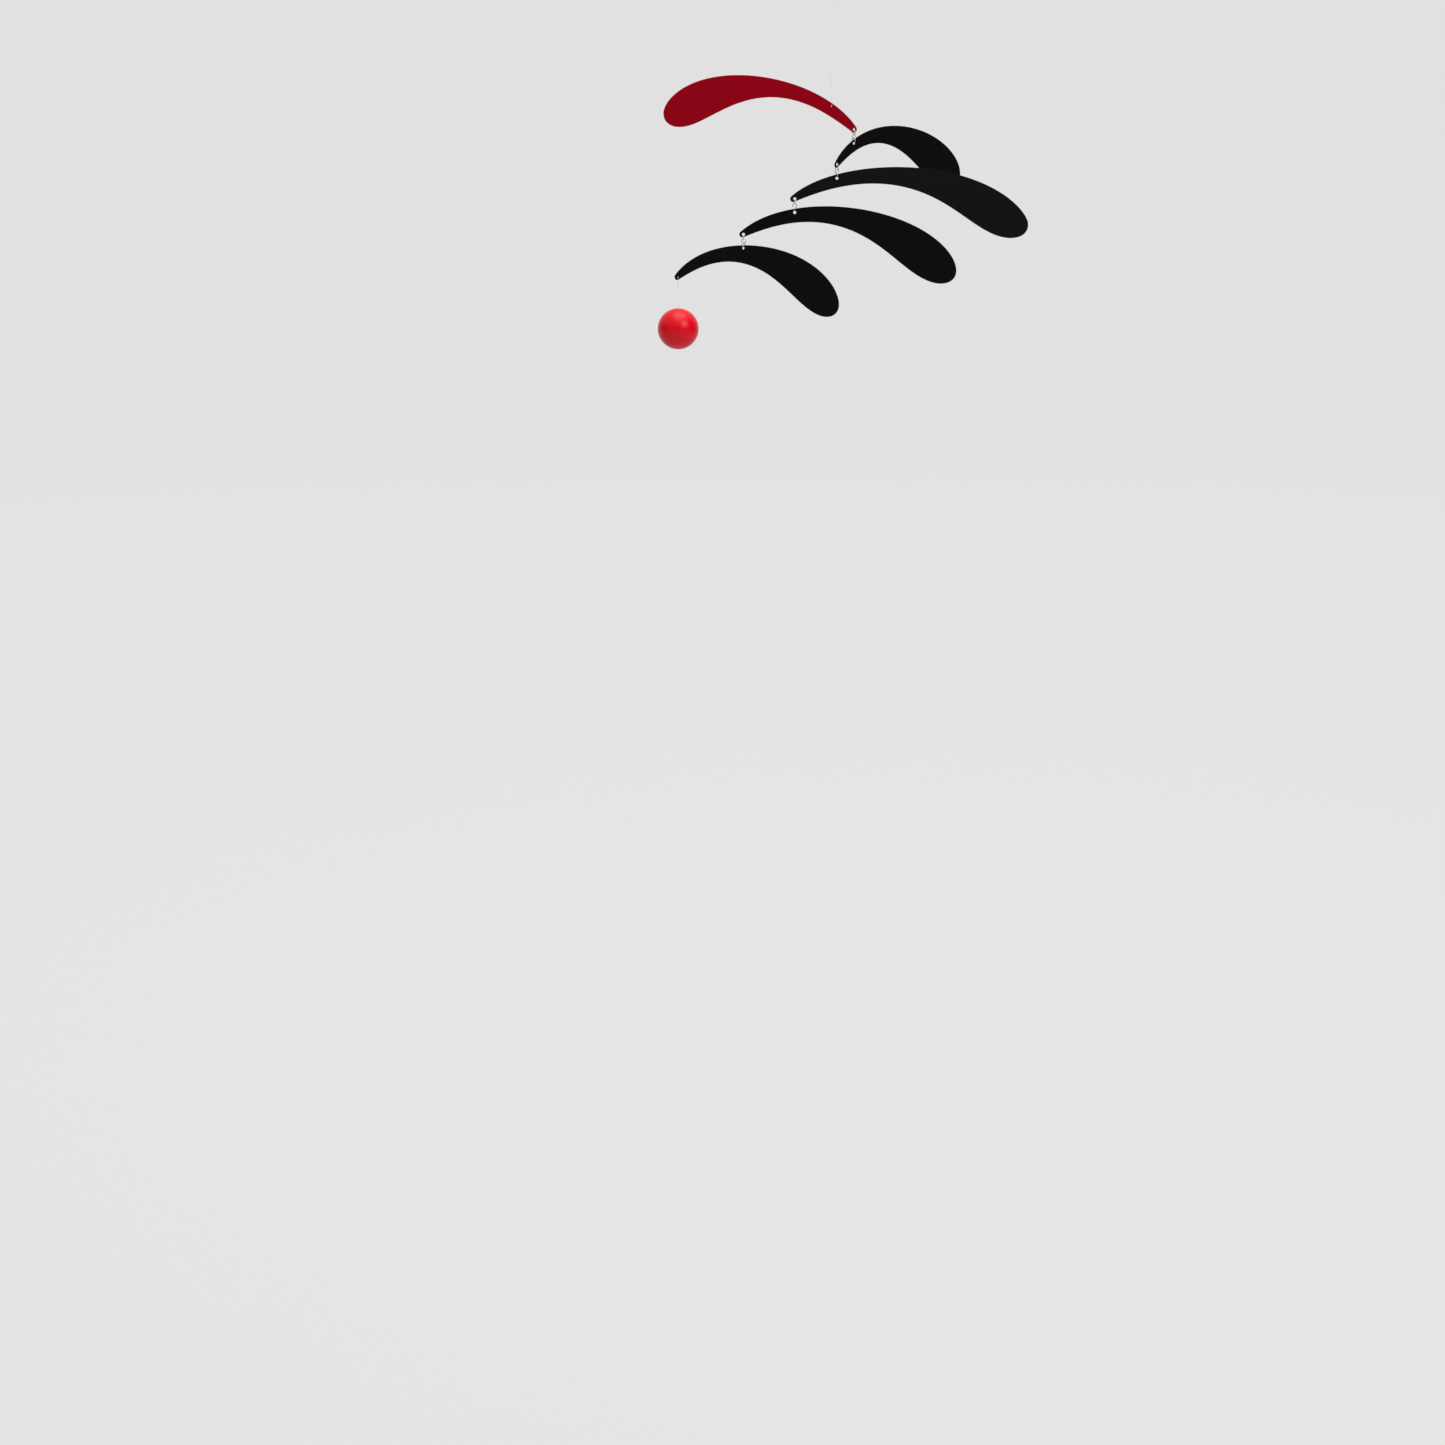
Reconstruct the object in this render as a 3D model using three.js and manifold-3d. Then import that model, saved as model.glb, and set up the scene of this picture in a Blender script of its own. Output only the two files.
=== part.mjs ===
// A hanging mobile: five sheet plates in a stair, joined by links of three rings, and a ball below.
// Millimetres, +Z up. The origin is the top of the hanging loop, +X is the right of the stair.
import * as THREE from "three";
import { mergeVertices } from "three/addons/utils/BufferGeometryUtils.js";
import Module from "manifold-3d";

const wasm = await Module();
wasm.setup();

// Sheet, its holes and the rings in them. The longest plate sets the size of every plate.
const LONGEST_SPAN = 371.2;
const SHEET_THICKNESS = 1.5;
const RING_HOLE_DIAMETER = 4.6;
const LINE_HOLE_DIAMETER = 2.6;
const RING_DIAMETER = 6.7;
const RING_WIRE = 1.1;
const RINGS_PER_LINK = 3;
const CONTACT_GAP = 0.3;

// Thread, its knots and its loops. A loop falls a little between the two faces of the sheet.
const THREAD_DIAMETER = 0.5;
const KNOT_WIDTH = 1.8;
const KNOT_HEIGHT = 2.8;
const LOOP_HEIGHT = 9;
const LOOP_WIDTH = 4.2;
const LOOP_FALL = 0.25;
const HANG_LENGTH = 172;
const RED_TIE_HEIGHT = 10.5;
const BALL_TIE_HEIGHT = 12;
const BALL_THREAD_LENGTH = 42;

// Ball
const BALL_DIAMETER = 63;
const BORE_DIAMETER = 1.6;
const BORE_DEPTH = 9;

// Facets
const SIDE_STATIONS = 30;
const TIP_ARC_STEPS = 6;
const END_ARC_STEPS = 9;
const HOLE_SIDES = 20;
const RING_STEPS = 18;
const WIRE_SIDES = 8;
const KNOT_SIDES = 10;
const BALL_SIDES = 28;

// A plate's outline is the edge of a disc that rolls along a spine and grows on the way.
// size is a share of the longest span, which runs from the centre of the small end to the centre
// of the big one, and tilt lifts it. The other lengths are shares of the plate's own span.
// along the span, and rise above it, place the points that bend the spine. radii are the disc's,
// from end to end. tip is the small end's centre and tipHole that of the hole in it, both from the
// hang hole. yaw is the plate's own turn about the vertical, and side is the way that its big end
// points.
const PLATE_SHARES = [
  {
    name: "red_blade",
    side: -1,
    yaw: 43,
    size: 1,
    tilt: 4,
    tip: [0.1301, -0.0938],
    tipHole: [0.12769, -0.09402],
    along: [0.199, 0.597, 0.876],
    rise: [0.1274, 0.2381, 0.0339],
    radii: [0.0135, 0.0541, -0.0307, 0.1492, 0.0401],
  },
  {
    name: "black_blade_1",
    side: 1,
    yaw: 46,
    size: 0.7206,
    tilt: -4.2,
    tip: [-0.1421, -0.1174],
    tipHole: [-0.13907, -0.11589],
    along: [0.169, 0.525, 0.875],
    rise: [0.1996, 0.3305, 0.0389],
    radii: [0.0164, 0.0591, -0.0228, 0.2094, 0.0793],
  },
  {
    name: "black_blade_2",
    side: 1,
    yaw: 12,
    size: 0.9477,
    tilt: -6.8,
    tip: [-0.1907, -0.0856],
    tipHole: [-0.18392, -0.08556],
    along: [0.188, 0.614, 0.847],
    rise: [0.1461, 0.2575, 0.037],
    radii: [0.0134, 0.0534, -0.023, 0.1623, 0.052],
  },
  {
    name: "black_blade_3",
    side: 1,
    yaw: -6,
    size: 0.8343,
    tilt: -10,
    tip: [-0.2541, -0.1056],
    tipHole: [-0.24896, -0.10623],
    along: [0.199, 0.58, 0.872],
    rise: [0.1789, 0.2838, 0.05],
    radii: [0.0152, 0.061, -0.0258, 0.1892, 0.0533],
  },
  {
    name: "black_blade_4",
    side: 1,
    yaw: -44,
    size: 0.8621,
    tilt: -4.9,
    tip: [-0.4406, -0.1534],
    tipHole: [-0.43373, -0.15531],
    along: [0.206, 0.595, 0.869],
    rise: [0.1759, 0.2703, 0.0459],
    radii: [0.015, 0.0581, -0.0272, 0.1894, 0.0484],
  },
];

// The plates in millimetres, with the two ends of each spine
const PLATES = PLATE_SHARES.map((plate) => {
  const span = plate.size * LONGEST_SPAN;
  const scaled = (shares) => shares.map((share) => share * span);
  return {
    ...plate,
    tip: scaled(plate.tip),
    tipHole: scaled(plate.tipHole),
    along: scaled([0, ...plate.along, 1]),
    rise: scaled([0, ...plate.rise, 0]),
    radii: scaled(plate.radii),
  };
});

const RED_PAINT = new THREE.MeshStandardMaterial({ color: 0x870414, roughness: 0.55 });
const BLACK_PAINT = new THREE.MeshStandardMaterial({ color: 0x0d0c0e, roughness: 0.6 });
const STEEL = new THREE.MeshStandardMaterial({ color: 0xc9c9cc, roughness: 0.2, metalness: 1 });
const NYLON = new THREE.MeshStandardMaterial({ color: 0xe6eaea, roughness: 0.15 });
const LACQUER = new THREE.MeshStandardMaterial({ color: 0xc20a1e, roughness: 0.35 });

const radians = THREE.MathUtils.degToRad;

// How far a ring's wire hangs below the centre of a hole that it passes through
const HOLE_DROP = RING_HOLE_DIAMETER / 2 - RING_WIRE / 2 - CONTACT_GAP;
// The same for the thread
const THREAD_DROP = LINE_HOLE_DIAMETER / 2 - THREAD_DIAMETER / 2 - CONTACT_GAP - LOOP_FALL;
// From the centre of one ring to the centre of the next one down
const RING_PITCH = RING_DIAMETER - RING_WIRE - CONTACT_GAP;
const LINK_LENGTH = 2 * HOLE_DROP + RING_DIAMETER + (RINGS_PER_LINK - 1) * RING_PITCH;

function named(name, geometry, material) {
  const mesh = new THREE.Mesh(geometry, material);
  mesh.name = name;
  return mesh;
}

function solid(geometry) {
  const bare = geometry.clone();
  bare.deleteAttribute("normal");
  bare.deleteAttribute("uv");
  const merged = mergeVertices(bare, 1e-4);
  const vertProperties = merged.attributes.position.array;
  const triVerts = new Uint32Array(merged.index.array);
  return new wasm.Manifold(new wasm.Mesh({ numProp: 3, vertProperties, triVerts }));
}

function geometryOf(manifold) {
  const mesh = manifold.getMesh();
  const geometry = new THREE.BufferGeometry();
  geometry.setAttribute("position", new THREE.BufferAttribute(mesh.vertProperties, 3));
  geometry.setIndex(new THREE.BufferAttribute(mesh.triVerts, 1));
  geometry.computeVertexNormals();
  return geometry;
}

// The value and the slope at t of a curve that its control values bend
function bend(values, t) {
  let level = values;
  while (level.length > 2) {
    level = level.slice(1).map((value, i) => level[i] + (value - level[i]) * t);
  }
  const [low, high] = level;
  return { value: low + (high - low) * t, slope: (values.length - 1) * (high - low) };
}

function spine(plate) {
  const turn = radians(plate.tilt);
  const { along, rise, side } = plate;
  const [tipX, tipZ] = plate.tip;
  const xs = along.map((a, i) => tipX + side * (a * Math.cos(turn) - rise[i] * Math.sin(turn)));
  const zs = along.map((a, i) => tipZ + a * Math.sin(turn) + rise[i] * Math.cos(turn));
  return { xs, zs };
}

// The two points where the disc at t touches the outline, and the disc itself
function station(plate, line, t) {
  const x = bend(line.xs, t);
  const z = bend(line.zs, t);
  const radius = bend(plate.radii, t);
  const speed = Math.hypot(x.slope, z.slope);
  const heading = Math.atan2(z.slope, x.slope);
  const lean = Math.acos(THREE.MathUtils.clamp(-radius.slope / speed, -1, 1));
  const rim = (angle) => new THREE.Vector2(
    x.value + radius.value * Math.cos(angle),
    z.value + radius.value * Math.sin(angle),
  );
  return { rim, heading, lean };
}

// Points on a disc between two angles, without the first and the last
function arc(rim, from, to, steps) {
  const points = [];
  for (let i = 1; i < steps; i += 1) points.push(rim(from + ((to - from) * i) / steps));
  return points;
}

function outline(plate) {
  const line = spine(plate);
  const left = [];
  const right = [];
  // The stations crowd towards the ends, where the outline bends most
  for (let i = 0; i <= SIDE_STATIONS; i += 1) {
    const t = (1 - Math.cos((Math.PI * i) / SIDE_STATIONS)) / 2;
    const at = station(plate, line, t);
    left.push(at.rim(at.heading + at.lean));
    right.push(at.rim(at.heading - at.lean));
  }
  const start = station(plate, line, 0);
  const end = station(plate, line, 1);
  const bigEnd = arc(end.rim, end.heading - end.lean, end.heading + end.lean, END_ARC_STEPS);
  const from = start.heading + start.lean;
  const smallEnd = arc(start.rim, from, start.heading - start.lean + 2 * Math.PI, TIP_ARC_STEPS);
  return [...right, ...bigEnd, ...left.reverse(), ...smallEnd];
}

function hole([x, z], diameter) {
  const path = new THREE.Path();
  path.absarc(x, z, diameter / 2, 0, 2 * Math.PI, true);
  return path;
}

// A plate stands in its own XZ plane, with its hang hole at the origin. The thread goes through
// the first plate's hang hole and the last one's tip hole, and rings through the others.
function plateGeometry(plate) {
  const hangHole = plate === PLATES[0] ? LINE_HOLE_DIAMETER : RING_HOLE_DIAMETER;
  const tipHole = plate === PLATES.at(-1) ? LINE_HOLE_DIAMETER : RING_HOLE_DIAMETER;
  const shape = new THREE.Shape(outline(plate));
  shape.holes.push(hole([0, 0], hangHole), hole(plate.tipHole, tipHole));
  const settings = { depth: SHEET_THICKNESS, bevelEnabled: false, curveSegments: HOLE_SIDES / 2 };
  const geometry = new THREE.ExtrudeGeometry(shape, settings);
  geometry.rotateX(Math.PI / 2);
  geometry.translate(0, SHEET_THICKNESS / 2, 0);
  return geometry;
}

function ring(name, height, yaw) {
  const geometry = new THREE.TorusGeometry(RING_DIAMETER / 2, RING_WIRE / 2, WIRE_SIDES, RING_STEPS);
  geometry.rotateX(Math.PI / 2);
  const mesh = named(name, geometry, STEEL);
  mesh.position.z = height;
  mesh.rotation.z = yaw;
  return mesh;
}

// The rings under a tip hole: the first stands across the upper plate and the last across the
// lower one, and those between share the turn from plate to plate
function ringLink(name, turn) {
  const link = new THREE.Group();
  for (let i = 0; i < RINGS_PER_LINK; i += 1) {
    const share = i / (RINGS_PER_LINK - 1);
    const across = i === 0 || i === RINGS_PER_LINK - 1 ? Math.PI / 2 : 0;
    const height = -HOLE_DROP - RING_DIAMETER / 2 - i * RING_PITCH;
    link.add(ring(`${name}_ring_${i + 1}`, height, turn * share + across));
  }
  return link;
}

function tube(points, steps) {
  const section = new THREE.Shape();
  section.absarc(0, 0, THREAD_DIAMETER / 2, 0, 2 * Math.PI);
  const path = new THREE.CatmullRomCurve3(points);
  return new THREE.ExtrudeGeometry(section, { extrudePath: path, steps, curveSegments: WIRE_SIDES / 2 });
}

function knot(height) {
  const geometry = new THREE.SphereGeometry(0.5, KNOT_SIDES, KNOT_SIDES - 2);
  geometry.rotateX(Math.PI / 2);
  geometry.scale(KNOT_WIDTH, KNOT_WIDTH, KNOT_HEIGHT);
  geometry.translate(0, 0, height);
  return solid(geometry);
}

// A loop of thread in the YZ plane that opens from a knot and turns round at the height "turn"
function knottedLoop(knotHeight, turn, width) {
  const side = (share) => knotHeight + (turn - knotHeight) * share;
  const loop = tube(
    [
      new THREE.Vector3(0, -KNOT_WIDTH / 8, knotHeight),
      new THREE.Vector3(0, -width / 2, side(0.55)),
      new THREE.Vector3(0, -width / 3, side(0.9)),
      new THREE.Vector3(0, 0, turn),
      new THREE.Vector3(0, width / 3, side(0.9)),
      new THREE.Vector3(0, width / 2, side(0.55)),
      new THREE.Vector3(0, KNOT_WIDTH / 8, knotHeight),
    ],
    24,
  );
  return geometryOf(solid(loop).add(knot(knotHeight)));
}

function straightThread(name, top, bottom) {
  const points = [new THREE.Vector3(0, 0, top), new THREE.Vector3(0, 0, bottom)];
  return named(name, tube(points, 8), NYLON);
}

// The ball has a fine blind bore in its top, for the end of its thread
function ballGeometry() {
  const radius = BALL_DIAMETER / 2;
  const bore = BORE_DIAMETER / 2;
  const mouth = Math.asin(bore / radius);
  const rows = BALL_SIDES / 2;
  const profile = [];
  for (let i = 0; i <= rows; i += 1) {
    const angle = Math.PI - ((Math.PI - mouth) * i) / rows;
    profile.push(new THREE.Vector2(i === 0 ? 0 : radius * Math.sin(angle), radius * Math.cos(angle)));
  }
  profile.push(new THREE.Vector2(bore, radius - BORE_DEPTH));
  profile.push(new THREE.Vector2(0, radius - BORE_DEPTH));
  const geometry = new THREE.LatheGeometry(profile, BALL_SIDES);
  geometry.rotateX(Math.PI / 2);
  return geometry;
}

function hangingThread() {
  const loopTop = -THREAD_DIAMETER / 2;
  const upperKnot = -LOOP_HEIGHT;
  const lowerKnot = -HANG_LENGTH + RED_TIE_HEIGHT;
  const threadInHole = -HANG_LENGTH + THREAD_DROP;
  const reach = KNOT_HEIGHT / 2 + CONTACT_GAP;
  const group = new THREE.Group();
  group.add(
    named("hanging_loop", knottedLoop(upperKnot, loopTop, LOOP_WIDTH), NYLON),
    straightThread("hanging_thread", upperKnot - reach, lowerKnot + reach),
  );
  const tie = named("red_blade_tie", knottedLoop(lowerKnot, threadInHole, LOOP_WIDTH), NYLON);
  tie.rotation.z = radians(PLATES[0].yaw);
  group.add(tie);
  return group;
}

// The ball on its thread, from the centre of the last plate's tip hole
function hangingBall() {
  const threadTop = -BALL_TIE_HEIGHT - KNOT_HEIGHT / 2 - CONTACT_GAP;
  const threadBottom = threadTop - BALL_THREAD_LENGTH;
  const ball = named("ball", ballGeometry(), LACQUER);
  ball.position.z = threadBottom - CONTACT_GAP + BORE_DEPTH - BALL_DIAMETER / 2;
  const group = new THREE.Group();
  group.add(
    named("ball_tie", knottedLoop(-BALL_TIE_HEIGHT, -THREAD_DROP, LOOP_WIDTH), NYLON),
    straightThread("ball_thread", threadTop, threadBottom),
    ball,
  );
  return group;
}

// Each plate's group hangs in the group of the plate above it, below that plate's tip hole
function hangPlate(parent, index) {
  const plate = PLATES[index];
  const above = PLATES[index - 1];
  const group = new THREE.Group();
  const turn = radians(plate.yaw - (above ? above.yaw : 0));
  group.rotation.z = turn;
  if (above) {
    const [x, z] = above.tipHole;
    const link = ringLink(`link_${index}`, turn);
    link.position.set(x, 0, z);
    parent.add(link);
    group.position.set(x, 0, z - LINK_LENGTH);
  } else {
    group.position.z = -HANG_LENGTH;
  }
  group.add(named(plate.name, plateGeometry(plate), index === 0 ? RED_PAINT : BLACK_PAINT));
  parent.add(group);
  if (index + 1 < PLATES.length) {
    hangPlate(group, index + 1);
  } else {
    const [x, z] = plate.tipHole;
    const ball = hangingBall();
    ball.position.set(x, 0, z);
    group.add(ball);
  }
}

const mobile = new THREE.Group();
mobile.add(hangingThread());
hangPlate(mobile, 0);

export default mobile;
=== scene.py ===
import math

import bpy
from mathutils import Matrix, Vector


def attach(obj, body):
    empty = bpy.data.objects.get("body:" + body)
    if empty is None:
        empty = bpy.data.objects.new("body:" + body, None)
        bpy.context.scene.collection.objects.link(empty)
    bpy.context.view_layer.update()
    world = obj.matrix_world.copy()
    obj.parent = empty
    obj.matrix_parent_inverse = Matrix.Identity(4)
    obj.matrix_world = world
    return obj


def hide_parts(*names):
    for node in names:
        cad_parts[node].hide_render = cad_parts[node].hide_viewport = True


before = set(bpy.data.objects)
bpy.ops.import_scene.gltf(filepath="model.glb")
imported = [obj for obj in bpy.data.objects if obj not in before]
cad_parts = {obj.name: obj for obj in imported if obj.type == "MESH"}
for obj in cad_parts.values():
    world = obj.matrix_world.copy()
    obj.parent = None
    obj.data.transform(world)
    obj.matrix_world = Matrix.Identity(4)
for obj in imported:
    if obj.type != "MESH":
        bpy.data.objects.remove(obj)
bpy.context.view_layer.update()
mm = 0.001


def mathsNode(operation, *terms, held=False):
    bench = next(term.bench for term in terms if isinstance(term, Wire))
    settings = {"operation": operation, "use_clamp": held}
    return bench.add("ShaderNodeMath", settings, dict(enumerate(terms)))


# One socket of a node: an expression on it adds its Math nodes to the tree it belongs to
class Wire:
    def __init__(self, bench, socket):
        self.bench = bench
        self.socket = socket

    def output(self, key):
        return Wire(self.bench, self.socket.node.outputs[key])

    def __add__(self, other):
        return mathsNode("ADD", self, other)

    def __radd__(self, other):
        return mathsNode("ADD", other, self)

    def __sub__(self, other):
        return mathsNode("SUBTRACT", self, other)

    def __rsub__(self, other):
        return mathsNode("SUBTRACT", other, self)

    def __mul__(self, other):
        return mathsNode("MULTIPLY", self, other)

    def __truediv__(self, other):
        return mathsNode("DIVIDE", self, other)

    def __gt__(self, other):
        return mathsNode("GREATER_THAN", self, other)


# Adds nodes to a tree: a node's settings go in first, then the values or links of its sockets
class Bench:
    def __init__(self, tree):
        self.tree = tree
        tree.nodes.clear()

    def add(self, kind, settings=None, inputs=None):
        node = self.tree.nodes.new(kind)
        for name, value in (settings or {}).items():
            setattr(node, name, value)
        for key, value in (inputs or {}).items():
            for item in value if isinstance(value, list) else [value]:
                if isinstance(item, Wire):
                    self.tree.links.new(item.socket, node.inputs[key])
                else:
                    node.inputs[key].default_value = item
        return Wire(self, node.outputs[0]) if node.outputs else None

    def mixVector(self, low, high, share):
        return self.add("ShaderNodeMix", {"data_type": "VECTOR"}, {0: share, 4: low, 5: high}).output(1)

    def mixColour(self, low, high, share):
        return self.add("ShaderNodeMix", {"data_type": "RGBA"}, {0: share, 6: low, 7: high}).output(2)

    def scaled(self, vector, factor):
        return self.add("ShaderNodeVectorMath", {"operation": "SCALE"}, {0: vector, "Scale": factor})

    def difference(self, high, low):
        return self.add("ShaderNodeVectorMath", {"operation": "SUBTRACT"}, {0: high, 1: low})

    def vector(self, x, y, z):
        return self.add("ShaderNodeCombineXYZ", None, {"X": x, "Y": y, "Z": z})

    def parts(self, vector):
        split = self.add("ShaderNodeSeparateXYZ", None, {0: vector})
        return split.output("X"), split.output("Y"), split.output("Z")


def newFinish(name):
    finish = bpy.data.materials.new(name)
    finish.use_nodes = True
    bench = Bench(finish.node_tree)
    place = bench.add("ShaderNodeTexCoord").output("Object")
    return finish, bench, place


# In every look below, a noise is its scale, detail and roughness
def noise(bench, place, look):
    scale, detail, roughness = look
    inputs = {"Vector": place, "Scale": scale, "Detail": detail, "Roughness": roughness}
    return bench.add("ShaderNodeTexNoise", None, inputs)


def closeFinish(bench, inputs, fixed):
    shader = bench.add("ShaderNodeBsdfPrincipled", None, {**fixed, **inputs})
    bench.add("ShaderNodeOutputMaterial", None, {"Surface": shader})


# The rim colours lighten the cut edge in patches: partly paint worn thin, partly a painted edge highlight
redPaintLook = {
    "deep": (0.190, 0.0003, 0.0050, 1.0), "fresh": (0.228, 0.0004, 0.0064, 1.0),
    "rim": (0.250, 0.0060, 0.0100, 1.0), "roughness": 0.50, "specular": 0.03, "peel": 0.10,
}
blackPaintLook = {
    "deep": (0.0008, 0.0008, 0.0009, 1.0), "fresh": (0.0017, 0.0016, 0.0017, 1.0),
    "rim": (0.0060, 0.0060, 0.0063, 1.0), "roughness": 0.54, "specular": 0.075, "peel": 0.12,
}
# What both paints share: their noises, where they wear and where the cut edge is lightened, partly as
# wear and partly as a painted highlight, the metal below and the depth of the peel
paintWearAndEdgeHighlight = {
    "cloud": (9.0, 3.0, 0.5), "smudge": (38.0, 4.0, 0.6), "peel": (720.0, 2.0, 0.5),
    "grain": (2600.0, 1.0, 0.5), "rimAbove": 0.56, "rimShare": 0.55, "bareAbove": 0.46,
    "metal": (0.52, 0.51, 0.50, 1.0), "depth": 0.12 * mm,
}


# Matt spray paint on sheet: cloudy at the scale of a hand, orange peel at that of a drop,
# lighter in patches along the cut edge, partly thinner paint and partly a painted edge highlight, and
# rubbed to the metal here and there where rings pass through
def sprayPaint(name, look):
    finish, bench, place = newFinish(name)
    cloud = noise(bench, place, paintWearAndEdgeHighlight["cloud"])
    smudge = noise(bench, place, paintWearAndEdgeHighlight["smudge"])
    peel = noise(bench, place, paintWearAndEdgeHighlight["peel"])
    grain = noise(bench, place, paintWearAndEdgeHighlight["grain"])
    rim = bench.add("ShaderNodeAttribute", {"attribute_name": "rim"}).output("Fac")
    rub = bench.add("ShaderNodeAttribute", {"attribute_name": "rub"}).output("Fac")
    # Where the edge is lightened: partly worn paint, partly a painted highlight along the edge
    wornAndHighlightedEdge = mathsNode("MULTIPLY", rim * (smudge > paintWearAndEdgeHighlight["rimAbove"]), paintWearAndEdgeHighlight["rimShare"], held=True)
    bare = mathsNode("MULTIPLY", rub * (grain > paintWearAndEdgeHighlight["bareAbove"]), 1.0, held=True)
    coat = bench.mixColour(look["deep"], look["fresh"], cloud * 0.7 + peel * 0.3)
    edged = bench.mixColour(coat, look["rim"], wornAndHighlightedEdge)
    colour = bench.mixColour(edged, paintWearAndEdgeHighlight["metal"], bare)
    roughness = (cloud - 0.5) * 0.12 + (smudge - 0.5) * 0.10 + look["roughness"] - bare * 0.2
    height = peel + grain * 0.35 + cloud * 2.0
    bump = {"Strength": look["peel"], "Distance": paintWearAndEdgeHighlight["depth"], "Height": height}
    closeFinish(
        bench,
        {
            "Base Color": colour,
            "Roughness": roughness,
            "Metallic": bare,
            "Normal": bench.add("ShaderNodeBump", None, bump),
        },
        {"Specular IOR Level": look["specular"]},
    )
    return finish


steelLook = {
    "bright": (0.68, 0.67, 0.67, 1.0), "dull": (0.46, 0.45, 0.45, 1.0), "cloud": (420.0, 3.0, 0.5),
    "scratch": (3800.0, 2.0, 0.5), "roughness": 0.10, "bump": 0.12, "depth": 0.02 * mm,
}


# Bright drawn wire: fine scratches and a little dulling
def ringSteel():
    finish, bench, place = newFinish("ringSteel")
    dull = noise(bench, place, steelLook["cloud"])
    scratch = noise(bench, place, steelLook["scratch"])
    colour = bench.mixColour(steelLook["bright"], steelLook["dull"], dull)
    bump = {"Strength": steelLook["bump"], "Distance": steelLook["depth"], "Height": scratch}
    closeFinish(
        bench,
        {
            "Base Color": colour,
            "Roughness": dull * 0.16 + scratch * 0.06 + steelLook["roughness"],
            "Normal": bench.add("ShaderNodeBump", None, bump),
        },
        {"Metallic": 1.0},
    )
    return finish


nylonLook = {
    "clear": (0.93, 0.95, 0.95, 1.0), "cloudy": (0.86, 0.89, 0.90, 1.0), "cloud": (260.0, 2.0, 0.5),
    "roughness": 0.05, "ior": 1.53, "transmission": 0.85,
}


# Clear monofilament, a little cloudy along its length
def clearLine():
    finish, bench, place = newFinish("clearLine")
    cloudy = noise(bench, place, nylonLook["cloud"])
    colour = bench.mixColour(nylonLook["clear"], nylonLook["cloudy"], cloudy)
    closeFinish(
        bench,
        {"Base Color": colour, "Roughness": cloudy * 0.14 + nylonLook["roughness"]},
        {"IOR": nylonLook["ior"], "Transmission Weight": nylonLook["transmission"]},
    )
    return finish


ballLook = {
    "deep": (0.58, 0.0003, 0.0090, 1.0), "fresh": (0.66, 0.0005, 0.0110, 1.0),
    "roughness": 0.35, "specular": 0.19, "coat": 0.04, "coatRoughness": 0.32,
    "grainTurn": (0.4, 0.25, 0.0), "grainStretch": (1.0, 1.0, 0.16), "grain": (420.0, 4.0, 0.6),
    "cloud": (30.0, 2.0, 0.5), "peel": (900.0, 2.0, 0.5), "bump": 0.10, "depth": 0.10 * mm,
}


# Satin lacquer over turned wood: the grain barely shows through as a ripple and a shade
def ballLacquer():
    finish, bench, place = newFinish("ballLacquer")
    stretch = {"Rotation": ballLook["grainTurn"], "Scale": ballLook["grainStretch"]}
    along = bench.add("ShaderNodeMapping", None, {"Vector": place, **stretch})
    grain = noise(bench, along, ballLook["grain"])
    cloud = noise(bench, place, ballLook["cloud"])
    peel = noise(bench, place, ballLook["peel"])
    colour = bench.mixColour(ballLook["deep"], ballLook["fresh"], grain * 0.35 + cloud * 0.65)
    height = grain * 0.6 + peel * 0.5
    bump = {"Strength": ballLook["bump"], "Distance": ballLook["depth"], "Height": height}
    closeFinish(
        bench,
        {
            "Base Color": colour,
            "Roughness": ballLook["roughness"] + (cloud - 0.5) * 0.14,
            "Normal": bench.add("ShaderNodeBump", None, bump),
        },
        {
            "Specular IOR Level": ballLook["specular"], "Coat Weight": ballLook["coat"],
            "Coat Roughness": ballLook["coatRoughness"],
        },
    )
    return finish


def newTree(name, wanted):
    tree = bpy.data.node_groups.new(name, "GeometryNodeTree")
    tree.interface.new_socket(name="Geometry", in_out="OUTPUT", socket_type="NodeSocketGeometry")
    for label, kind in wanted.items():
        tree.interface.new_socket(name=label, in_out="INPUT", socket_type="NodeSocket" + kind)
    bench = Bench(tree)
    source = bench.add("NodeGroupInput")
    return bench, source.output


def closeTree(bench, geometry, finish):
    real = bench.add("GeometryNodeRealizeInstances", None, {"Geometry": geometry})
    shown = bench.add("GeometryNodeSetMaterial", None, {"Geometry": real, "Material": finish})
    bench.add("NodeGroupOutput", None, {"Geometry": shown})
    return bench.tree


# Runs a node group with its sizes and keeps the result as a plain mesh
def makePiece(name, tree, sizes, mesh=None):
    piece = bpy.data.objects.new(name, mesh or bpy.data.meshes.new(name))
    bpy.context.scene.collection.objects.link(piece)
    maker = piece.modifiers.new(tree.name, "NODES")
    maker.node_group = tree
    for item in tree.interface.items_tree:
        if item.in_out == "INPUT" and item.name in sizes:
            maker[item.identifier] = sizes[item.name]
    graph = bpy.context.evaluated_depsgraph_get()
    made = bpy.data.meshes.new_from_object(
        piece.evaluated_get(graph), preserve_all_data_layers=True, depsgraph=graph
    )
    piece.modifiers.clear()
    piece.data = made
    made.name = name
    return piece


def settle(piece, body, slot, *nodes):
    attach(piece, body)
    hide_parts(*nodes)


weldGap = 0.002 * mm
# A point this far out, as a share of half the thickness, lies in a face
faceShare = 0.995


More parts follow.
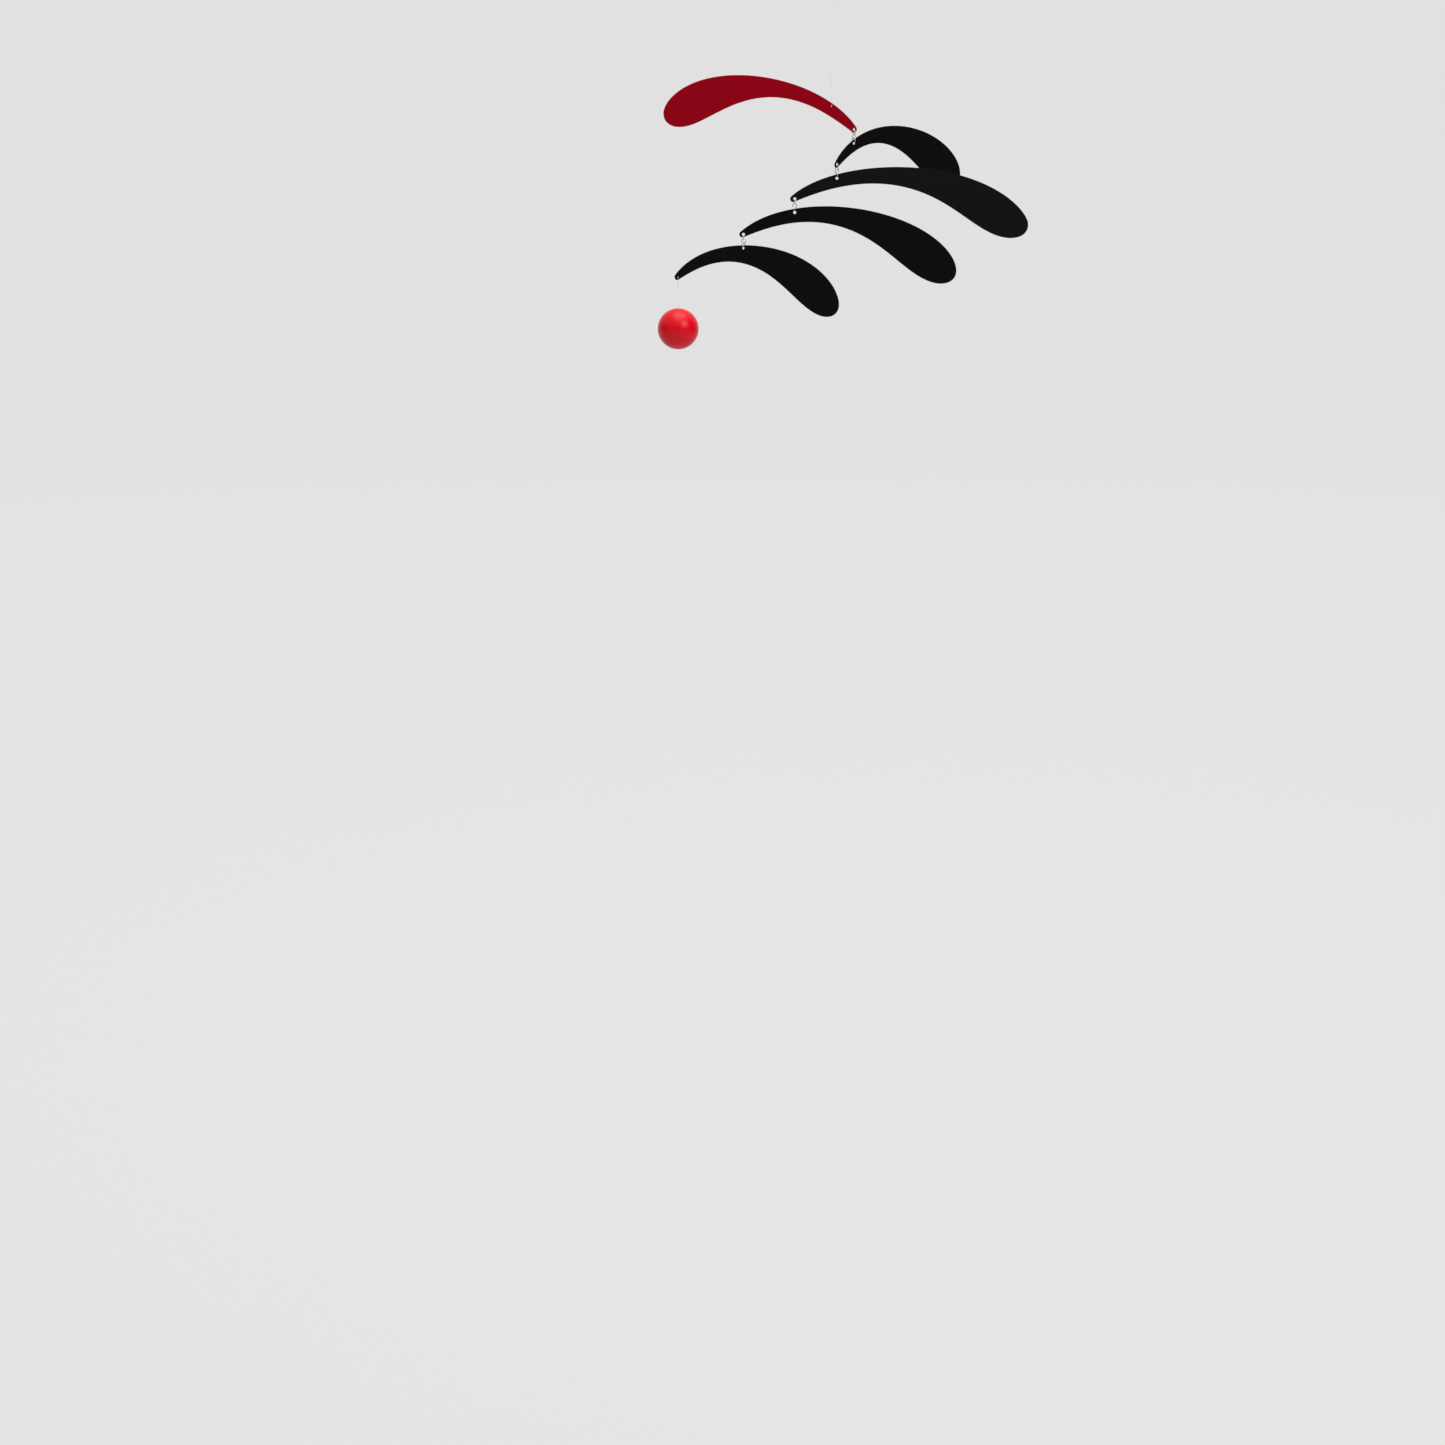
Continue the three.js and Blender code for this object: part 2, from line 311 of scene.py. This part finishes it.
# The edge of a disc that rolls along a bent spine and grows on the way, cut from sheet.
# The blade is drawn flat, x along it and y up, then stood up and turned into its place.
def sheetBladeTree():
    bench, given = newTree("sheetBlade", {
        "Spine 1": "Vector", "Spine 2": "Vector", "Spine 3": "Vector", "Spine 4": "Vector",
        "Spine 5": "Vector", "Thickness": "Float", "Edge Round": "Float",
        "Hang Hole Radius": "Float", "Tip Hole Radius": "Float", "Hang Rub": "Float",
        "Tip Rub": "Float", "Tip Hole": "Vector", "Quarter Columns": "Int", "Edge Rows": "Int",
        "Hole Columns": "Int", "Hang Point": "Vector", "Turn": "Float", "Paint": "Material",
    })
    half = given("Thickness") / 2.0
    edge = given("Edge Round")
    across, upward, depthNow = bench.parts(bench.add("GeometryNodeInputPosition"))

    # The rounded edge: a quarter turn at each face and a flat between them
    swing = upward * math.pi
    flare = edge * (1.0 - mathsNode("COSINE", swing))
    depth = mathsNode("SIGN", swing) * (half - edge) + edge * mathsNode("SINE", swing)

    def held(term):
        return mathsNode("ADD", term, 0.0, held=True)

    # Once round the outline: out along one side, round the big end, back, and round the tip
    lap = (across + 0.5) * 4.0
    out = held(lap) - held(lap - 2.0)
    side = held(lap - 1.0) * 2.0 - 1.0
    tipShare = held(lap - 3.0)
    share = (1.0 - mathsNode("COSINE", out * math.pi)) / 2.0
    level = [given(f"Spine {i}") for i in range(1, 6)]
    while len(level) > 2:
        level = [bench.mixVector(low, high, share) for low, high in zip(level, level[1:])]
    slopeX, slopeY, growth = bench.parts(bench.scaled(bench.difference(level[1], level[0]), 4.0))
    spineX, spineY, radius = bench.parts(bench.mixVector(level[0], level[1], share))
    speed = mathsNode("SQRT", slopeX * slopeX + slopeY * slopeY)
    heading = mathsNode("ARCTAN2", slopeY, slopeX)
    lean = mathsNode("ARCCOSINE", 0.0 - growth / speed)
    angle = heading + lean * side + tipShare * (2.0 * math.pi - lean * 2.0)
    reach = radius - flare
    onOutline = bench.vector(
        spineX + reach * mathsNode("COSINE", angle), spineY + reach * mathsNode("SINE", angle), depth
    )

    # A grid bent round an outline, its mark strongest half-way through the sheet
    def wall(columns, position, mark, strength):
        grid = bench.add("GeometryNodeMeshGrid", None, {
            "Size X": 1.0, "Size Y": 1.0, "Vertices X": columns + 1.0,
            "Vertices Y": given("Edge Rows"),
        })
        store = {"data_type": "FLOAT", "domain": "POINT"}
        marked = bench.add("GeometryNodeStoreNamedAttribute", store, {
            "Geometry": grid, "Name": mark, "Value": mathsNode("COSINE", swing) * strength,
        })
        placed = {"Geometry": marked, "Position": position}
        return bench.add("GeometryNodeSetPosition", None, placed)

    def holeWall(radius, rubbed):
        angle = across * (-2.0 * math.pi)
        reach = radius + flare
        onHole = bench.vector(
            reach * mathsNode("COSINE", angle), reach * mathsNode("SINE", angle), depth
        )
        return wall(given("Hole Columns"), onHole, "rub", rubbed)

    def weld(pieces):
        joined = bench.add("GeometryNodeJoinGeometry", None, {"Geometry": pieces})
        close = {"Geometry": joined, "Distance": weldGap}
        return bench.add("GeometryNodeMergeByDistance", None, close)

    def moved(piece, shift=(0.0, 0.0, 0.0), turned=(0.0, 0.0, 0.0)):
        place = {"Geometry": piece, "Translation": shift, "Rotation": turned}
        return bench.add("GeometryNodeTransform", None, place)

    rim = wall(given("Quarter Columns") * 4.0, onOutline, "rim", 1.0)
    hangHole = holeWall(given("Hang Hole Radius"), given("Hang Rub"))
    tipHole = moved(holeWall(given("Tip Hole Radius"), given("Tip Rub")), given("Tip Hole"))
    walls = weld([rim, hangHole, tipHole])
    faceEdges = bench.add("GeometryNodeMeshToCurve", None, {
        "Mesh": walls, "Selection": depthNow > half * faceShare,
    })
    sheet = bench.add("GeometryNodeFillCurve", None, {"Curve": faceEdges})
    flat = bench.add("GeometryNodeSetShadeSmooth", None, {"Geometry": sheet, "Shade Smooth": False})
    backUp = bench.add("GeometryNodeFlipFaces", None, {"Mesh": flat})
    smooth = bench.add("GeometryNodeSetShadeSmooth", None, {"Geometry": walls, "Shade Smooth": True})
    front = moved(flat, bench.vector(0.0, 0.0, half))
    back = moved(backUp, bench.vector(0.0, 0.0, 0.0 - half))
    blade = weld([smooth, front, back])
    stood = moved(blade, given("Hang Point"), bench.vector(math.pi / 2.0, 0.0, given("Turn")))
    return closeTree(bench, stood, given("Paint"))


sheetSizes = {
    "Thickness": 1.5 * mm, "Edge Round": 0.28 * mm, "Quarter Columns": 84, "Edge Rows": 8,
    "Hole Columns": 40,
}
# The radii of the holes
ringHole = 2.3 * mm
lineHole = 1.3 * mm
# From the top to the first hang hole, and from a tip hole to the next hang hole, in millimetres
hangLength = 172.0
linkLength = 20.2
# span, tip, tipHole, rise and radii are millimetres, yaw and tilt are degrees, and along is in
# shares of the span. tip and tipHole are measured from the hang hole.
bladeShapes = [
    {
        "piece": "redBlade", "node": "red_blade", "body": "red_tier", "side": -1, "yaw": 43,
        "span": 371.2, "tilt": 4, "tip": (48.3, -34.8), "tipHole": (47.4, -34.9),
        "along": (0.199, 0.597, 0.876), "rise": (47.3, 88.4, 12.6),
        "radii": (5, 20.1, -11.4, 55.4, 14.9),
    },
    {
        "piece": "blackBlade1", "node": "black_blade_1", "body": "black_tier_1", "side": 1, "yaw": 46,
        "span": 267.5, "tilt": -4.2, "tip": (-38, -31.4), "tipHole": (-37.2, -31),
        "along": (0.169, 0.525, 0.875), "rise": (53.4, 88.4, 10.4),
        "radii": (4.4, 15.8, -6.1, 56, 21.2),
    },
    {
        "piece": "blackBlade2", "node": "black_blade_2", "body": "black_tier_2", "side": 1, "yaw": 12,
        "span": 351.8, "tilt": -6.8, "tip": (-67.1, -30.1), "tipHole": (-64.7, -30.1),
        "along": (0.188, 0.614, 0.847), "rise": (51.4, 90.6, 13),
        "radii": (4.7, 18.8, -8.1, 57.1, 18.3),
    },
    {
        "piece": "blackBlade3", "node": "black_blade_3", "body": "black_tier_3", "side": 1, "yaw": -6,
        "span": 309.7, "tilt": -10, "tip": (-78.7, -32.7), "tipHole": (-77.1, -32.9),
        "along": (0.199, 0.58, 0.872), "rise": (55.4, 87.9, 15.5),
        "radii": (4.7, 18.9, -8, 58.6, 16.5),
    },
    {
        "piece": "blackBlade4", "node": "black_blade_4", "body": "black_tier_4", "side": 1, "yaw": -44,
        "span": 320, "tilt": -4.9, "tip": (-141, -49.1), "tipHole": (-138.8, -49.7),
        "along": (0.206, 0.595, 0.869), "rise": (56.3, 86.5, 14.7),
        "radii": (4.8, 18.6, -8.7, 60.6, 15.5),
    },
]


def spinePoints(shape):
    turn = math.radians(shape["tilt"])
    along = [share * shape["span"] for share in (0, *shape["along"], 1)]
    rise = (0, *shape["rise"], 0)
    points = []
    for a, up, radius in zip(along, rise, shape["radii"]):
        x = shape["tip"][0] + shape["side"] * (a * math.cos(turn) - up * math.sin(turn))
        z = shape["tip"][1] + a * math.sin(turn) + up * math.cos(turn)
        points.append((x * mm, z * mm, radius * mm))
    return points


# Each blade hangs below the tip hole of the one above it: where they all come out
def stairOfBlades():
    hang = Vector((0.0, 0.0, -hangLength * mm))
    stair = []
    for shape in bladeShapes:
        yaw = math.radians(shape["yaw"])
        x, z = (value * mm for value in shape["tipHole"])
        tipHole = hang + Vector((x * math.cos(yaw), x * math.sin(yaw), z))
        stair.append({"shape": shape, "hang": hang, "tipHole": tipHole, "yaw": yaw})
        hang = tipHole - Vector((0.0, 0.0, linkLength * mm))
    return stair


stair = stairOfBlades()
paints = {
    "red": sprayPaint("redPaint", redPaintLook),
    "black": sprayPaint("blackPaint", blackPaintLook),
}
bladeTree = sheetBladeTree()
# A line goes through the first hang hole and the last tip hole. Rings go through the others and
# rub their paint away.
lineThrough = {"radius": lineHole, "rub": 0.0}
ringThrough = {"radius": ringHole, "rub": 1.0}
for step in stair:
    shape = step["shape"]
    kind = "red" if shape["node"].startswith("red") else "black"
    hangHole = lineThrough if step is stair[0] else ringThrough
    tipHole = lineThrough if step is stair[-1] else ringThrough
    sizes = {f"Spine {i + 1}": point for i, point in enumerate(spinePoints(shape))}
    sizes.update({
        **sheetSizes, "Paint": paints[kind], "Turn": step["yaw"], "Hang Point": step["hang"],
        "Tip Hole": (shape["tipHole"][0] * mm, shape["tipHole"][1] * mm, 0.0),
        "Hang Hole Radius": hangHole["radius"], "Hang Rub": hangHole["rub"],
        "Tip Hole Radius": tipHole["radius"], "Tip Rub": tipHole["rub"],
    })
    blade = makePiece(shape["piece"], bladeTree, sizes)
    settle(blade, shape["body"], kind + "_paint", shape["node"])
print("blades cut:", len(stair))


ringPoints = 61
wireSides = 16


# Jump rings under each other, each turned by a step from the one above, their seams at the side
def ringLinkTree():
    bench, given = newTree("ringLink", {
        "Rings": "Int", "Ring Diameter": "Float", "Wire Diameter": "Float", "Pitch": "Float",
        "Seam": "Float", "First Turn": "Float", "Turn Step": "Float", "Top Ring": "Vector",
        "Steel": "Material",
    })
    ring = bench.add("GeometryNodeCurveArc", {"mode": "RADIUS"}, {
        "Resolution": ringPoints, "Radius": given("Ring Diameter") / 2.0,
        "Start Angle": given("Seam") / 2.0, "Sweep Angle": 2.0 * math.pi - given("Seam"),
    })
    wire = bench.add("GeometryNodeCurvePrimitiveCircle", {"mode": "RADIUS"}, {
        "Resolution": wireSides, "Radius": given("Wire Diameter") / 2.0,
    })
    bent = bench.add("GeometryNodeCurveToMesh", None, {
        "Curve": ring, "Profile Curve": wire, "Fill Caps": True,
    })
    stood = bench.add("GeometryNodeTransform", None, {
        "Geometry": bent, "Rotation": (math.pi / 2.0, 0.0, 0.0),
    })
    smooth = bench.add("GeometryNodeSetShadeSmooth", None, {"Geometry": stood, "Shade Smooth": True})
    spots = bench.add("GeometryNodeMeshLine", {"mode": "OFFSET"}, {
        "Count": given("Rings"), "Start Location": given("Top Ring"),
        "Offset": bench.vector(0.0, 0.0, 0.0 - given("Pitch")),
    })
    turned = given("First Turn") + bench.add("GeometryNodeInputIndex") * given("Turn Step")
    chain = bench.add("GeometryNodeInstanceOnPoints", None, {
        "Points": spots, "Instance": smooth, "Rotation": bench.vector(0.0, 0.0, turned),
    })
    return closeTree(bench, chain, given("Steel"))


ringSizes = {
    "Ring Diameter": 6.7 * mm, "Wire Diameter": 1.1 * mm, "Pitch": 5.3 * mm,
    "Seam": math.radians(2.2),
}
# From a tip hole down to the centre of the ring in it, in millimetres
holeToRing = 4.8
ringTree = ringLinkTree()
steel = ringSteel()


# The two upper rings turn with the blade above, and the last with the blade below
def hangLink(number, above, below):
    turn = below["yaw"] - above["yaw"]
    top = above["tipHole"] - Vector((0.0, 0.0, holeToRing * mm))
    last = top - Vector((0.0, 0.0, 2 * ringSizes["Pitch"]))
    common = {**ringSizes, "Steel": steel, "Turn Step": turn / 2 - math.pi / 2}
    nodes = [f"link_{number}_ring_{i}" for i in (1, 2, 3)]
    upper = {"Rings": 2, "First Turn": above["yaw"] + math.pi / 2, "Top Ring": top}
    lower = {"Rings": 1, "First Turn": below["yaw"] + math.pi / 2, "Top Ring": last}
    pair = makePiece(f"link{number}Upper", ringTree, {**common, **upper})
    single = makePiece(f"link{number}Lower", ringTree, {**common, **lower})
    settle(pair, above["shape"]["body"], "ring_steel", *nodes[:2])
    settle(single, below["shape"]["body"], "ring_steel", nodes[2])


for number, (above, below) in enumerate(zip(stair, stair[1:]), 1):
    hangLink(number, above, below)
print("links hung:", len(stair) - 1)


def lineTree():
    bench, given = newTree("lineTube", {
        "Path": "Geometry", "Line Diameter": "Float", "Sides": "Int", "Line": "Material",
    })
    path = bench.add("GeometryNodeMeshToCurve", None, {"Mesh": given("Path")})
    section = bench.add("GeometryNodeCurvePrimitiveCircle", {"mode": "RADIUS"}, {
        "Resolution": given("Sides"), "Radius": given("Line Diameter") / 2.0,
    })
    tube = bench.add("GeometryNodeCurveToMesh", None, {
        "Curve": path, "Profile Curve": section, "Fill Caps": True,
    })
    smooth = bench.add("GeometryNodeSetShadeSmooth", None, {"Geometry": tube, "Shade Smooth": True})
    return closeTree(bench, smooth, given("Line"))


lineSizes = {"Line Diameter": 0.4 * mm, "Sides": 10}
lineTubes = lineTree()
nylon = clearLine()


def lineAlong(name, points):
    path = bpy.data.meshes.new(name + "Path")
    path.from_pydata(points, [(i, i + 1) for i in range(len(points) - 1)], [])
    return makePiece(name, lineTubes, {**lineSizes, "Line": nylon}, path)


# A smooth line through a few points
def through(points, steps):
    ends = [points[0] * 2 - points[1], *points, points[-1] * 2 - points[-2]]
    line = []
    for a, b, c, d in zip(ends, ends[1:], ends[2:], ends[3:]):
        for i in range(steps):
            t = i / steps
            line.append(
                (b * 2 + (c - a) * t + (a * 2 - b * 5 + c * 4 - d) * t**2
                 + (b * 3 - a - c * 3 + d) * t**3) / 2
            )
    return [*line, points[-1]]


# Millimetres. The tail runs out by its length, and by these shares of it aside and back.
knotShape = {
    "wraps": 5, "pitch": 0.45, "radius": 0.42, "loopWidth": 3.6, "loopSteps": 8, "wrapSteps": 14,
    "tail": 1.6, "tailAside": 0.1, "tailBack": 0.35, "tailSteps": 4,
}
# Round the loop from its mouth, in shares of half its width and of its height
loopPoints = [
    (0.0, 0.0), (-0.55, 0.22), (-1.0, 0.55), (-0.72, 0.88), (0.0, 1.0), (0.72, 0.88), (1.0, 0.55),
    (0.6, 0.22),
]


# A loop of line from its knot round a turn and back, then wrapped round the line it hangs on.
# knot and turn are heights on the line's own axis, and the loop stands across the direction yaw.
def knottedLoop(name, foot, knot, turn, yaw):
    way = 1.0 if turn > knot else -1.0
    wraps, pitch, radius = knotShape["wraps"], knotShape["pitch"], knotShape["radius"]
    mouth = knot + way * wraps * pitch / 2
    side = knotShape["loopWidth"] / 2
    loop = [Vector((0.0, side * y, mouth + (turn - mouth) * z)) for y, z in loopPoints]
    loop.append(Vector((0.0, radius, mouth)))
    path = through(loop, knotShape["loopSteps"])
    steps = wraps * knotShape["wrapSteps"]
    for i in range(1, steps + 1):
        angle = 2 * math.pi * i / knotShape["wrapSteps"]
        height = mouth - way * pitch * wraps * i / steps
        path.append(Vector((radius * math.sin(angle), radius * math.cos(angle), height)))
    tail = path[-1]
    for i in range(1, knotShape["tailSteps"] + 1):
        run = knotShape["tail"] * i / knotShape["tailSteps"]
        aside, back = knotShape["tailAside"] * run, -way * knotShape["tailBack"] * run
        path.append(tail + Vector((run, aside, back)))
    spin = Matrix.Rotation(yaw, 3, "Z")
    return lineAlong(name, [foot + spin @ point * mm for point in path])


def straightLine(start, end, count):
    return [start.lerp(end, i / (count - 1)) for i in range(count)]


# The heights along each line, in millimetres from the point that it is measured from: the first
# from the top of the whole, the second from the last tip hole
hangingLine = {
    "top": -7.8, "bottom": -162.7, "loopKnot": -9.0, "loopTurn": -0.25, "tieKnot": -161.5,
    "tieTurn": -171.07, "points": 24,
}
ballLine = {"top": -10.8, "bottom": -56.0, "tieKnot": -12.0, "tieTurn": -0.93, "points": 16}

origin = Vector((0.0, 0.0, 0.0))
millimetreUp = Vector((0.0, 0.0, mm))
lastTip = stair[-1]["tipHole"]

hangingLoop = knottedLoop(
    "hangingLoop", origin, hangingLine["loopKnot"], hangingLine["loopTurn"], 0.0
)
redTie = knottedLoop(
    "redBladeTie", origin, hangingLine["tieKnot"], hangingLine["tieTurn"], stair[0]["yaw"]
)
ballTie = knottedLoop(
    "ballTie", lastTip, ballLine["tieKnot"], ballLine["tieTurn"], stair[-1]["yaw"]
)
settle(hangingLoop, "red_tier", "nylon_line", "hanging_loop")
settle(redTie, "red_tier", "nylon_line", "red_blade_tie")
settle(ballTie, "black_tier_4", "nylon_line", "ball_tie")


# The path starts at the blade: the hanging line runs up from it, and the ball's line down
def freeLine(name, start, route, body, node, farEnd):
    top = start + millimetreUp * route["top"]
    bottom = start + millimetreUp * route["bottom"]
    points = straightLine(bottom, top, route["points"])
    if farEnd == "object":
        points.reverse()
    line = lineAlong(name, points)
    settle(line, body, "nylon_line", node)
    (top - bottom).length


freeLine(
    "hangingThread", origin, hangingLine, "red_tier", "hanging_thread", "knot",
)
freeLine("ballThread", lastTip, ballLine, "black_tier_4", "ball_thread", "object")
print("lines knotted: 2")


# Millimetres: bore is a radius, and belowTip runs from the last tip hole to the ball's centre
ballShape = {
    "radius": 31.5, "bore": 0.8, "boreDepth": 9.0, "mouthRound": 0.5, "mouthSteps": 4,
    "belowTip": 78.5, "rows": 72, "sides": 112,
}


# A profile of (radius, height) turned about the vertical, closed where its radius is nothing
def turned(name, profile, sides, centre, finish):
    points, faces, rows = [], [], []
    for radius, height in profile:
        if radius == 0.0:
            rows.append([len(points)] * sides)
            points.append(centre + Vector((0.0, 0.0, height)) * mm)
            continue
        rows.append([len(points) + i for i in range(sides)])
        for i in range(sides):
            angle = 2 * math.pi * i / sides
            x, y = radius * math.cos(angle), radius * math.sin(angle)
            points.append(centre + Vector((x, y, height)) * mm)
    for low, high in zip(rows, rows[1:]):
        for i in range(sides):
            j = (i + 1) % sides
            faces.append(tuple(dict.fromkeys((low[i], low[j], high[j], high[i]))))
    mesh = bpy.data.meshes.new(name)
    mesh.from_pydata(points, [], faces)
    mesh.polygons.foreach_set("use_smooth", [True] * len(faces))
    mesh.materials.append(finish)
    piece = bpy.data.objects.new(name, mesh)
    bpy.context.scene.collection.objects.link(piece)
    return piece


def ballProfile():
    radius, bore, soften = ballShape["radius"], ballShape["bore"], ballShape["mouthRound"]
    rows, mouthSteps = ballShape["rows"], ballShape["mouthSteps"]
    mouth = math.asin((bore + soften) / radius)
    profile = [(0.0, -radius)]
    for i in range(1, rows + 1):
        angle = math.pi - (math.pi - mouth) * i / rows
        profile.append((radius * math.sin(angle), radius * math.cos(angle)))
    lip = profile[-1][1] - soften
    for i in range(1, mouthSteps + 1):
        angle = math.pi / 2 * i / mouthSteps
        profile.append((bore + soften * (1 - math.sin(angle)), lip + soften * math.cos(angle)))
    floor = radius - ballShape["boreDepth"]
    return [*profile, (bore, floor), (0.0, floor)]


ballCentre = lastTip - millimetreUp * ballShape["belowTip"]
ball = turned("ball", ballProfile(), ballShape["sides"], ballCentre, ballLacquer())
settle(ball, "black_tier_4", "ball_lacquer", "ball")
print("ball turned")


# floor, radius, cove and height are millimetres. The paper is nearly black and glows evenly, so
# that the lights and the flags leave no shade on it.
stageLook = {
    "floor": -1500.0, "radius": 9000.0, "cove": 3200.0, "height": 6500.0, "coveSteps": 12,
    "sides": 96, "shade": 0.04, "fade": 0.985, "tone": (1.2, 2.0, 0.5), "roughness": 0.9,
    "specular": 0.1, "glow": 0.72,
}


# A floor that curves up into a wall all round, so that every view has the same plain ground
def makeStage():
    finish, bench, place = newFinish("palePaper")
    tone = noise(bench, place, stageLook["tone"])
    shade = stageLook["shade"]
    faded = shade * stageLook["fade"]
    colour = bench.mixColour((shade, shade, shade, 1.0), (faded, faded, faded, 1.0), tone)
    closeFinish(bench, {"Base Color": colour}, {
        "Roughness": stageLook["roughness"], "Specular IOR Level": stageLook["specular"],
        "Emission Color": (1.0, 1.0, 1.0, 1.0), "Emission Strength": stageLook["glow"],
    })
    floor, cove, steps = stageLook["floor"], stageLook["cove"], stageLook["coveSteps"]
    profile = [(stageLook["radius"], stageLook["height"])]
    for i in range(steps + 1):
        angle = math.pi / 2 * i / steps
        reach = stageLook["radius"] - cove * (1 - math.cos(angle))
        profile.append((reach, floor + cove * (1 - math.sin(angle))))
    profile.append((0.0, floor))
    turned("stage", profile, stageLook["sides"], origin, finish)


# Lights and flags are placed in metres, and a turn is degrees about the vertical
lights = [
    {"name": "keyLight", "at": (1.7, -2.1, 1.15), "size": 1.5, "power": 58.0},
    {"name": "topLight", "at": (0.2, -0.3, 2.6), "size": 3.2, "power": 104.0},
]
lightTarget = Vector((0.0, 0.0, -0.30))
roomGlow = 0.75
# Dark cloths that keep the pale walls out of the paint's reflections; no view shows them
clothLook = {
    "dark": (0.020, 0.020, 0.020, 1.0), "light": (0.026, 0.026, 0.026, 1.0),
    "tone": (3.0, 2.0, 0.5), "roughness": 0.95, "specular": 0.1,
}
flags = [
    {"name": "frontFlag", "at": (0.6, -5.6, 0.3), "size": (9.0, 3.4), "turn": 0.0},
    {"name": "rightFlag", "at": (4.4, -1.6, 0.3), "size": (9.0, 6.0), "turn": 90.0},
    {"name": "leftFlag", "at": (-4.6, -1.6, 0.1), "size": (7.0, 2.3), "turn": 90.0},
]


def makeFlags():
    finish, bench, place = newFinish("darkCloth")
    tone = noise(bench, place, clothLook["tone"])
    colour = bench.mixColour(clothLook["dark"], clothLook["light"], tone)
    closeFinish(bench, {"Base Color": colour}, {
        "Roughness": clothLook["roughness"], "Specular IOR Level": clothLook["specular"],
    })
    for look in flags:
        across, up = (side / 2 for side in look["size"])
        spin = Matrix.Rotation(math.radians(look["turn"]), 3, "Z")
        outline = [(-across, -up), (across, -up), (across, up), (-across, up)]
        corners = [Vector(look["at"]) + spin @ Vector((x, 0.0, z)) for x, z in outline]
        mesh = bpy.data.meshes.new(look["name"])
        mesh.from_pydata(corners, [], [(0, 1, 2, 3)])
        mesh.materials.append(finish)
        flag = bpy.data.objects.new(look["name"], mesh)
        flag.visible_camera = False
        bpy.context.scene.collection.objects.link(flag)


def makeLights():
    for look in lights:
        lamp = bpy.data.lights.new(look["name"], "AREA")
        lamp.shape, lamp.size, lamp.energy = "DISK", look["size"], look["power"]
        holder = bpy.data.objects.new(look["name"], lamp)
        holder.location = look["at"]
        aim = lightTarget - Vector(look["at"])
        holder.rotation_euler = aim.to_track_quat("-Z", "Y").to_euler()
        holder.visible_camera = False
        bpy.context.scene.collection.objects.link(holder)
    world = bpy.data.worlds.new("paleRoom")
    world.use_nodes = True
    bench = Bench(world.node_tree)
    pale = {"Color": (1.0, 1.0, 1.0, 1.0), "Strength": roomGlow}
    sky = bench.add("ShaderNodeBackground", None, pale)
    bench.add("ShaderNodeOutputWorld", None, {"Surface": sky})
    bpy.context.scene.world = world


# at, lens and sensor are millimetres, nearest and farthest metres, and pitch degrees downwards
cameraPlace = {
    "at": (-162.7, -4880.0, -139.7), "pitch": 11.24, "lens": 80.05, "sensor": 36.0,
    "nearest": 0.1, "farthest": 60.0,
}


def makeCamera():
    lens = bpy.data.cameras.new("camera")
    lens.lens, lens.sensor_width = cameraPlace["lens"], cameraPlace["sensor"]
    lens.clip_start, lens.clip_end = cameraPlace["nearest"], cameraPlace["farthest"]
    camera = bpy.data.objects.new("camera", lens)
    camera.location = Vector(cameraPlace["at"]) * mm
    camera.rotation_euler = (math.radians(90.0 - cameraPlace["pitch"]), 0.0, 0.0)
    bpy.context.scene.collection.objects.link(camera)
    bpy.context.scene.camera = camera


makeStage()
makeFlags()
makeLights()
makeCamera()
bpy.context.scene.view_settings.view_transform = "Standard"
print("stage, lights and camera set")
